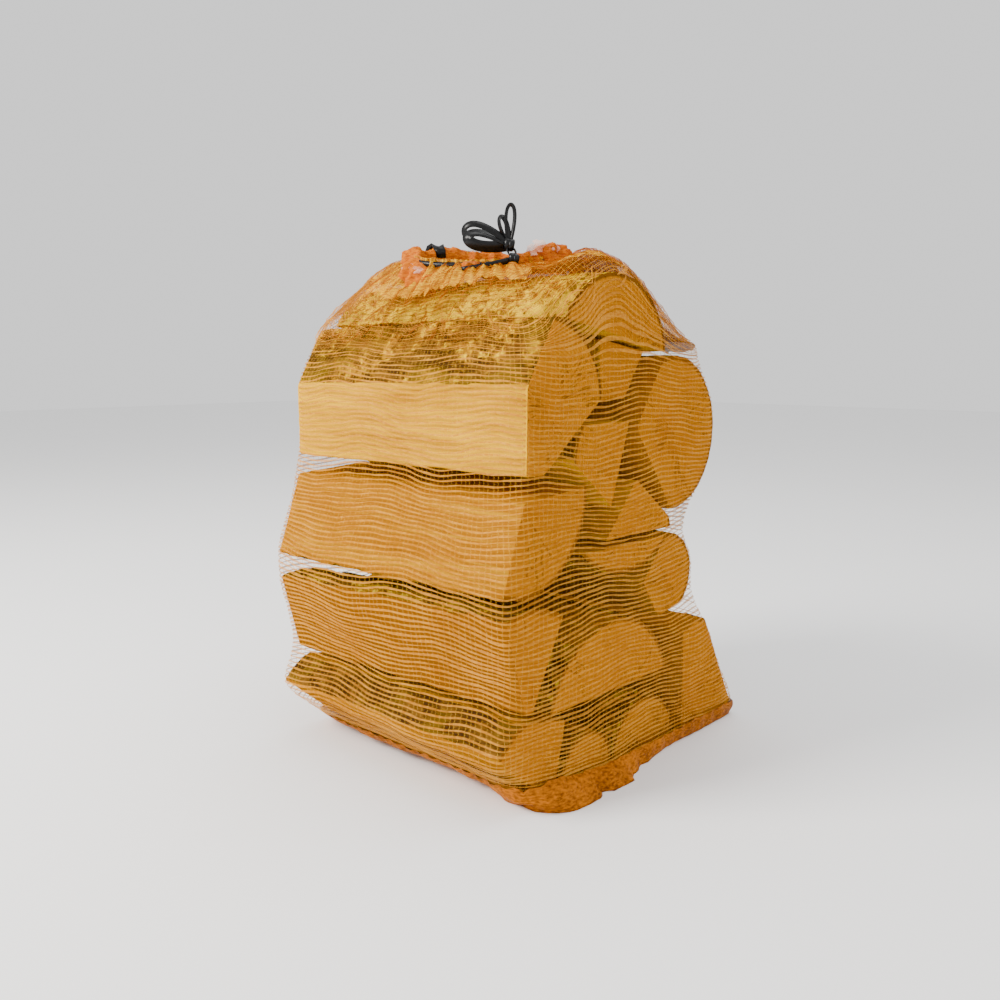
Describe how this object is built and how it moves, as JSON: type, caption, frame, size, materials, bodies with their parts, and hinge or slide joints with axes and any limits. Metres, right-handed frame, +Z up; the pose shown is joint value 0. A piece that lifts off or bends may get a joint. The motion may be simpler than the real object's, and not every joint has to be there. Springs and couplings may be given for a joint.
{
  "type": "firewood bundle",
  "caption": "Upright knitted net bag packed tight with split firewood logs, its gathered mouth tied with a flat tape in a bow.",
  "frame": {"origin": "centre of the bounding box at the level of the floor the bag stands on", "axes": "+Z up; +X along the logs towards the sawn ends that the picture shows; -Y towards the long split faces of the front logs"},
  "size_m": [0.273, 0.3223, 0.4565],
  "materials": {
    "wood": "split and sawn, with bark",
    "net": "knitted tape yarn, slightly shiny",
    "tape": "smooth flat tape"
  },
  "bodies": {
    "root": {"log_front_top": "wood", "log_front_upper": "wood", "log_front_middle": "wood", "log_front_bottom": "wood", "log_crown": "wood", "log_filler_upper": "wood", "log_back_round": "wood", "log_centre_wedge": "wood", "log_centre_half": "wood", "log_centre_slab": "wood", "log_back_middle": "wood", "log_low_half": "wood", "log_back_bottom": "wood", "log_floor_small": "wood", "log_floor_round": "wood", "net_bag": "net", "drawstring": "tape"}
  },
  "joints": []
}
